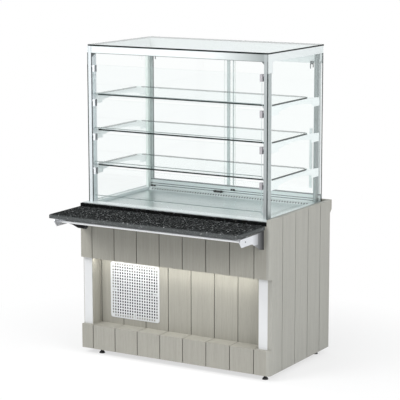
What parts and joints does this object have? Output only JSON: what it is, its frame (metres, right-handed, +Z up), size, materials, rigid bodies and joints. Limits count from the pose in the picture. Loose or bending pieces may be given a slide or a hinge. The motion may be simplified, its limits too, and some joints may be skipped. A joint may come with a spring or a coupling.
{
  "type": "refrigerated display case",
  "caption": "Self-service refrigerated case: planked base, stone worktop and tray slide, chilled well, glass top with shelves, hinged flaps and sliding rear doors.",
  "frame": {"origin": "on the floor, in the middle of the whole case's footprint", "axes": "+Z up, -Y towards the customer, +Y towards the service side, +X to the customer's right"},
  "size_m": [1.2, 1.029, 1.739],
  "materials": {
    "taupe_laminate": "fine-grained warm grey laminate planks",
    "dark_stone": "polished dark speckled stone",
    "stainless": "satin stainless steel",
    "white_steel": "white powder coat",
    "frame_grey": "satin grey-green anodised profile",
    "bracket_grey": "light grey powder coat",
    "clear_glass": "clear toughened glass with green edges",
    "clear_acrylic": "clear acrylic sheet",
    "black_plastic": "black moulded plastic",
    "light_diffuser": "milky light strip",
    "foam": "rigid insulation foam",
    "compressor_shell": "black enamel",
    "coil_aluminium": "bare finned coil",
    "copper": "bare copper pipe",
    "box_grey": "dark grey plastic"
  },
  "bodies": {
    "case": {"upper_cladding": "taupe_laminate", "plinth": "taupe_laminate", "end_cladding": "taupe_laminate", "recess_panel": "taupe_laminate", "rear_apron": "taupe_laminate", "return_boards": "taupe_laminate", "side_skins": "taupe_laminate", "rear_panel": "taupe_laminate", "worktop": "dark_stone", "well_liner": "stainless", "deck": "stainless", "air_strip": "stainless", "shelf_arms": "stainless", "base_frame": "white_steel", "floor_pan": "white_steel", "corner_covers": "white_steel", "grille": "white_steel", "unit_plate": "white_steel", "front_posts": "frame_grey", "rear_posts": "frame_grey", "top_frame": "frame_grey", "rear_sill": "frame_grey", "door_header": "frame_grey", "tray_wall_brackets": "bracket_grey", "top_pane": "clear_glass", "side_panes": "clear_glass", "shelves": "clear_glass", "condenser_shroud": "black_plastic", "evaporator_shroud": "black_plastic", "power_inlet": "black_plastic", "recess_light": "light_diffuser", "well_foam": "foam", "compressor": "compressor_shell", "condenser": "coil_aluminium", "evaporator": "coil_aluminium", "refrigerant_pipes": "copper", "electrical_box": "box_grey", "thermostat_face": "box_grey"},
    "tray_slide": {"tray": "dark_stone", "tray_arms": "bracket_grey", "tray_tube": "stainless"},
    "flap_1_body": {"flap_1": "clear_acrylic", "flap_clamps_1": "stainless"},
    "flap_2_body": {"flap_2": "clear_acrylic", "flap_clamps_2": "stainless"},
    "flap_3_body": {"flap_3": "clear_acrylic", "flap_clamps_3": "stainless"},
    "flap_4_body": {"flap_4": "clear_acrylic", "flap_clamps_4": "stainless"},
    "left_door": {"door_left": "clear_glass", "door_left_trim": "frame_grey"},
    "right_door": {"door_right": "clear_glass", "door_right_trim": "frame_grey"},
    "front_left_foot": {"foot_front_left": "black_plastic"},
    "front_right_foot": {"foot_front_right": "black_plastic"},
    "rear_left_foot": {"foot_rear_left": "black_plastic"},
    "rear_right_foot": {"foot_rear_right": "black_plastic"},
    "condenser_fan_wheel": {"condenser_fan": "black_plastic"},
    "evaporator_fan_wheel": {"evaporator_fan": "black_plastic"},
    "main_switch": {"rocker_switch": "black_plastic"}
  },
  "joints": [
    {"name": "flap_1_hinge", "type": "hinge", "parent": "case", "child": "flap_1_body", "pos_m": [-0.011, -0.1475, 1.619], "axis": [-1, 0, 0], "range_deg": [0, 80]},
    {"name": "flap_2_hinge", "type": "hinge", "parent": "case", "child": "flap_2_body", "pos_m": [-0.011, -0.1475, 1.429], "axis": [-1, 0, 0], "range_deg": [0, 80]},
    {"name": "flap_3_hinge", "type": "hinge", "parent": "case", "child": "flap_3_body", "pos_m": [-0.011, -0.1475, 1.239], "axis": [-1, 0, 0], "range_deg": [0, 80]},
    {"name": "flap_4_hinge", "type": "hinge", "parent": "case", "child": "flap_4_body", "pos_m": [-0.011, -0.1475, 1.049], "axis": [-1, 0, 0], "range_deg": [0, 80]},
    {"name": "left_door_slide", "type": "slide", "parent": "case", "child": "left_door", "axis": [1, 0, 0], "range_m": [0, 0.5]},
    {"name": "right_door_slide", "type": "slide", "parent": "case", "child": "right_door", "axis": [-1, 0, 0], "range_m": [0, 0.5]},
    {"name": "tray_fold", "type": "hinge", "parent": "case", "child": "tray_slide", "pos_m": [-0.011, -0.3225, 0.7745], "axis": [1, 0, 0], "range_deg": [0, 90]},
    {"name": "front_left_foot_screw", "type": "hinge", "parent": "case", "child": "front_left_foot", "pos_m": [-0.496, -0.1655, 0], "axis": [0, 0, 1], "continuous": true},
    {"name": "front_right_foot_screw", "type": "hinge", "parent": "case", "child": "front_right_foot", "pos_m": [0.551, -0.1655, 0], "axis": [0, 0, 1], "continuous": true},
    {"name": "rear_left_foot_screw", "type": "hinge", "parent": "case", "child": "rear_left_foot", "pos_m": [-0.496, 0.4245, 0], "axis": [0, 0, 1], "continuous": true},
    {"name": "rear_right_foot_screw", "type": "hinge", "parent": "case", "child": "rear_right_foot", "pos_m": [0.551, 0.4245, 0], "axis": [0, 0, 1], "continuous": true},
    {"name": "condenser_fan_spin", "type": "hinge", "parent": "case", "child": "condenser_fan_wheel", "pos_m": [-0.301, -0.0405, 0.315], "axis": [0, 1, 0], "continuous": true},
    {"name": "evaporator_fan_spin", "type": "hinge", "parent": "case", "child": "evaporator_fan_wheel", "pos_m": [0.35, 0.2545, 0.7255], "axis": [1, 0, 0], "continuous": true},
    {"name": "main_switch_rock", "type": "hinge", "parent": "case", "child": "main_switch", "pos_m": [0.424, 0.4915, 0.515], "axis": [1, 0, 0], "range_deg": [-16, 0]}
  ]
}
